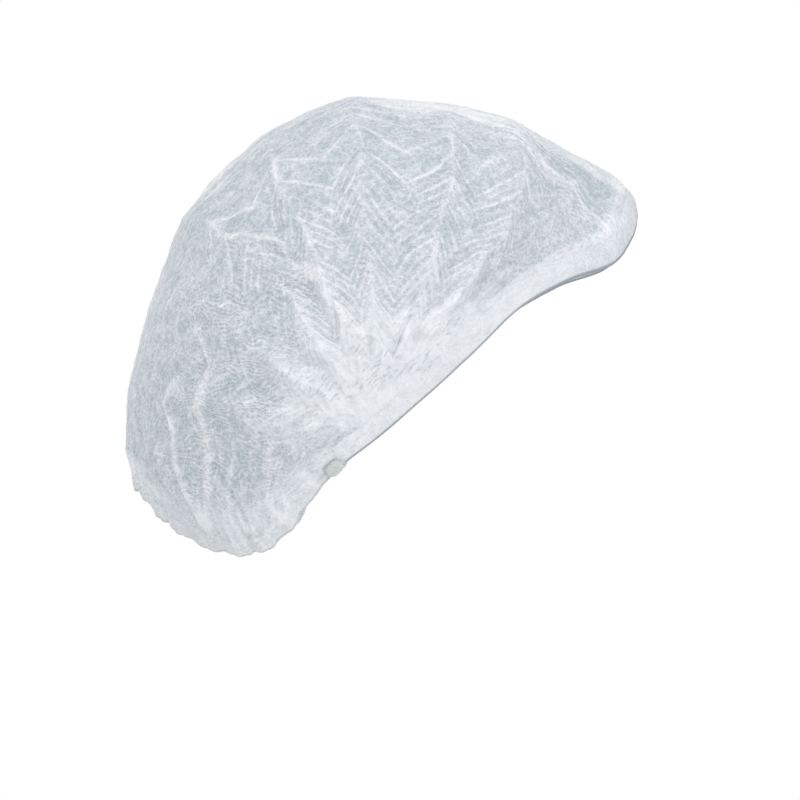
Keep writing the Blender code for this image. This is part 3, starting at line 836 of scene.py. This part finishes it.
# Rubber thread
# One loop of white rubber thread, 1 mm thick, runs all round inside the fold of the hems and
# gathers them. Cut natural rubber with a white filler: off-white, rather matt, finely grained.
rubber = bpy.data.materials.new("white_rubber_thread")
rubber.use_nodes = True
shader = rubber.node_tree.nodes["Principled BSDF"]
shader.inputs["Roughness"].default_value = 0.6
places = add_node(rubber.node_tree, "ShaderNodeTexCoord").outputs["Object"]
grain = add_node(
    rubber.node_tree, "ShaderNodeTexNoise", {"Vector": places, "Scale": 900.0}
).outputs[0]
shade = add_node(
    rubber.node_tree, "ShaderNodeMix",
    {"Factor": grain, 6: hex_colour("D2D6D4"), 7: hex_colour("E6E8E6")}, data_type="RGBA",
).outputs[2]
rubber.node_tree.links.new(shade, shader.inputs["Base Color"])

THREAD_RADIUS = 0.0005
THREAD_DOWN = 0.0003

# A circle carried along the ruffled edge and closed on itself
loop_angles = np.linspace(-math.pi, math.pi, 601)[:-1]
loop_edge, loop_rise, _, loop_outward = ruffled_edge(loop_angles)
section = np.linspace(0, 2 * math.pi, 11)[:-1]
loop_points = (loop_edge - THREAD_DOWN * loop_rise)[:, None] + THREAD_RADIUS * (
    np.cos(section)[None, :, None] * loop_outward[:, None]
    + np.sin(section)[None, :, None] * loop_rise[:, None]
)
stations = np.arange(loop_points.shape[0] * loop_points.shape[1]).reshape(loop_points.shape[:2])
stations = np.pad(stations, ((0, 1), (0, 1)), mode="wrap")
elastic = build_mesh("rubber_thread_loop", loop_points.reshape(-1, 3), grid_faces(stations))
elastic.data.materials.append(rubber)
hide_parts("elastic")

# Tabs
# Where the two hems meet behind each ear, their ends are welded together under a small pad of
# pressed cloth, which hangs a little below the fold.

TAB_SIZE = np.array([0.0092, 0.0034, 0.0082])
TAB_ANGLE = math.radians(108.0)
TAB_OUT = 0.0022
TAB_DOWN = -0.0028


def build_tab(name, side):
    """A rounded pad: an ellipsoid whose sines and cosines are raised to a power below 1, and
    whose outer face is pressed in by a small waffle pattern."""
    edge, rise, _ = edge_frame(np.array([side * TAB_ANGLE]))
    ahead = edge_frame(np.array([side * (TAB_ANGLE - math.radians(0.5))]))[0]
    tangent = unit(edge - ahead)[0] * side
    outward = unit(np.cross(tangent, rise[0]))
    tangent = np.cross(outward, rise[0])
    around = np.linspace(0, 2 * math.pi, 49)[:-1]
    latitude = np.linspace(-math.pi / 2, math.pi / 2, 25)[:, None]
    cos, sin = np.cos(around) + 0 * latitude, np.sin(around) + 0 * latitude
    ring_size = np.cos(latitude) ** 0.5
    along = np.sign(cos) * np.abs(cos) ** 0.7 * ring_size
    up = np.sign(sin) * np.abs(sin) ** 0.7 * ring_size
    out = np.sign(np.sin(latitude)) * np.abs(np.sin(latitude)) ** 0.8 + 0 * along
    dimple = 0.12 * np.sin(along * 14) * np.sin(up * 11) * smooth_step(0.9, 0.6, ring_size)
    out = out * (1 - dimple - 0.12 * smooth_step(0.8, 0.3, ring_size))
    centre = edge[0] + outward * TAB_OUT - rise[0] * TAB_DOWN
    half = TAB_SIZE / 2
    points = centre + (
        (half[0] * along)[..., None] * tangent + (half[1] * out)[..., None] * outward
        + (half[2] * up)[..., None] * rise[0]
    )
    stations = np.arange(out.size).reshape(out.shape)
    stations = np.concatenate([stations, stations[:, :1]], axis=1)
    item = build_mesh(name, points.reshape(-1, 3), grid_faces(stations))
    merged = bmesh.new()
    merged.from_mesh(item.data)
    bmesh.ops.remove_doubles(merged, verts=merged.verts, dist=1e-6)
    bmesh.ops.recalc_face_normals(merged, faces=merged.faces)
    merged.to_mesh(item.data)
    merged.free()
    set_attribute(item, "crest", np.full(len(item.data.vertices), 99.0))
    return item


# The cloth melts together under the weld and turns a greyer, faintly green white
welded = cloth_material("welded_nonwoven_pad", "C6D0CF", "ECF0EF", 0.0, 0.4, glow=0.1)
for node, name, side in (("left_tab", "left_tab_pad", 1), ("right_tab", "right_tab_pad", -1)):
    tab = build_tab(name, side)
    tab.data.materials.append(welded)
    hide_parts(node)

# Studio
# A pale floor well below, a white surround and three wide soft lights: one above, a weaker one
# in front and the weakest behind.
scene = bpy.context.scene
scene.view_settings.view_transform = "Standard"
# The picture is square, PICTURE pixels wide, and the rim line's middle lies at RIM_AT in it
PICTURE = 800
RIM_AT = (387.0, 345.5)
METRES_PER_PIXEL = 0.000505
AIM = np.array([PICTURE / 2 - RIM_AT[0], 0, RIM_AT[1] - PICTURE / 2]) * METRES_PER_PIXEL
VIEW_WIDTH = PICTURE * METRES_PER_PIXEL
CAMERA_DISTANCE = 2.6
FLOOR_RADIUS = 14.0
FLOOR_DOWN = 2.2
# Brightness of the surround as it is seen, and as it lights the cap
WORLD_SEEN = 1.0
WORLD_LIGHT = 0.66
camera_data = bpy.data.cameras.new("camera")
camera_data.sensor_width = 36.0
camera_data.lens = 36.0 * CAMERA_DISTANCE / VIEW_WIDTH
camera_data.clip_end = 50.0
camera = bpy.data.objects.new("camera", camera_data)
camera.location = (AIM[0], -CAMERA_DISTANCE, AIM[2])
camera.rotation_euler = (math.pi / 2, 0, 0)
scene.collection.objects.link(camera)
scene.camera = camera


def add_area_light(name, place, target, size, power):
    """A square area light at a place, turned towards a target."""
    data = bpy.data.lights.new(name, "AREA")
    data.size = size
    data.energy = power
    item = bpy.data.objects.new(name, data)
    item.location = place
    way = np.array(target) - np.array(place)
    item.rotation_euler = (
        math.atan2(math.hypot(way[0], way[1]), -way[2]), 0, math.atan2(way[0], -way[1]) + math.pi
    )
    scene.collection.objects.link(item)


add_area_light("key", (-0.8, -1.2, 1.6), (0, 0, 0), 1.2, 20.0)
add_area_light("fill", (1.2, -1.2, 0.2), (0, 0, 0), 1.6, 10.0)
add_area_light("rear", (-0.3, 1.5, 1.0), (0, 0, 0), 1.8, 6.0)
world = bpy.data.worlds.new("studio")
world.use_nodes = True
world.node_tree.nodes.clear()
bright = add_node(
    world.node_tree, "ShaderNodeBackground", {"Color": (1, 1, 1, 1), "Strength": WORLD_SEEN}
).outputs[0]
dim = add_node(
    world.node_tree, "ShaderNodeBackground", {"Color": (1, 1, 1, 1), "Strength": WORLD_LIGHT}
).outputs[0]
seen = add_node(world.node_tree, "ShaderNodeLightPath").outputs["Is Camera Ray"]
mixed = add_node(
    world.node_tree, "ShaderNodeMixShader", {"Fac": seen, 1: dim, 2: bright}
).outputs[0]
add_node(world.node_tree, "ShaderNodeOutputWorld", {"Surface": mixed})
scene.world = world

floor_mesh = bpy.data.meshes.new("floor")
floor_angles = np.linspace(0, 2 * math.pi, 65)[:-1]
floor_points = np.stack(
    [FLOOR_RADIUS * np.cos(floor_angles), FLOOR_RADIUS * np.sin(floor_angles),
     np.full(len(floor_angles), -FLOOR_DOWN)], axis=1
)
floor_mesh.from_pydata(floor_points.tolist(), [], [list(range(len(floor_points)))])
floor = bpy.data.objects.new("floor", floor_mesh)
scene.collection.objects.link(floor)
floor_paint = bpy.data.materials.new("pale_floor")
floor_paint.use_nodes = True
floor_shader = floor_paint.node_tree.nodes["Principled BSDF"]
floor_shader.inputs["Base Color"].default_value = hex_colour("EEF0F1")
floor_shader.inputs["Roughness"].default_value = 0.9
# A faint glow of its own stands for the light that a pale studio throws back on its floor
floor_shader.inputs["Emission Color"].default_value = hex_colour("FFFFFF")
floor_shader.inputs["Emission Strength"].default_value = 0.22
floor_mesh.materials.append(floor_paint)
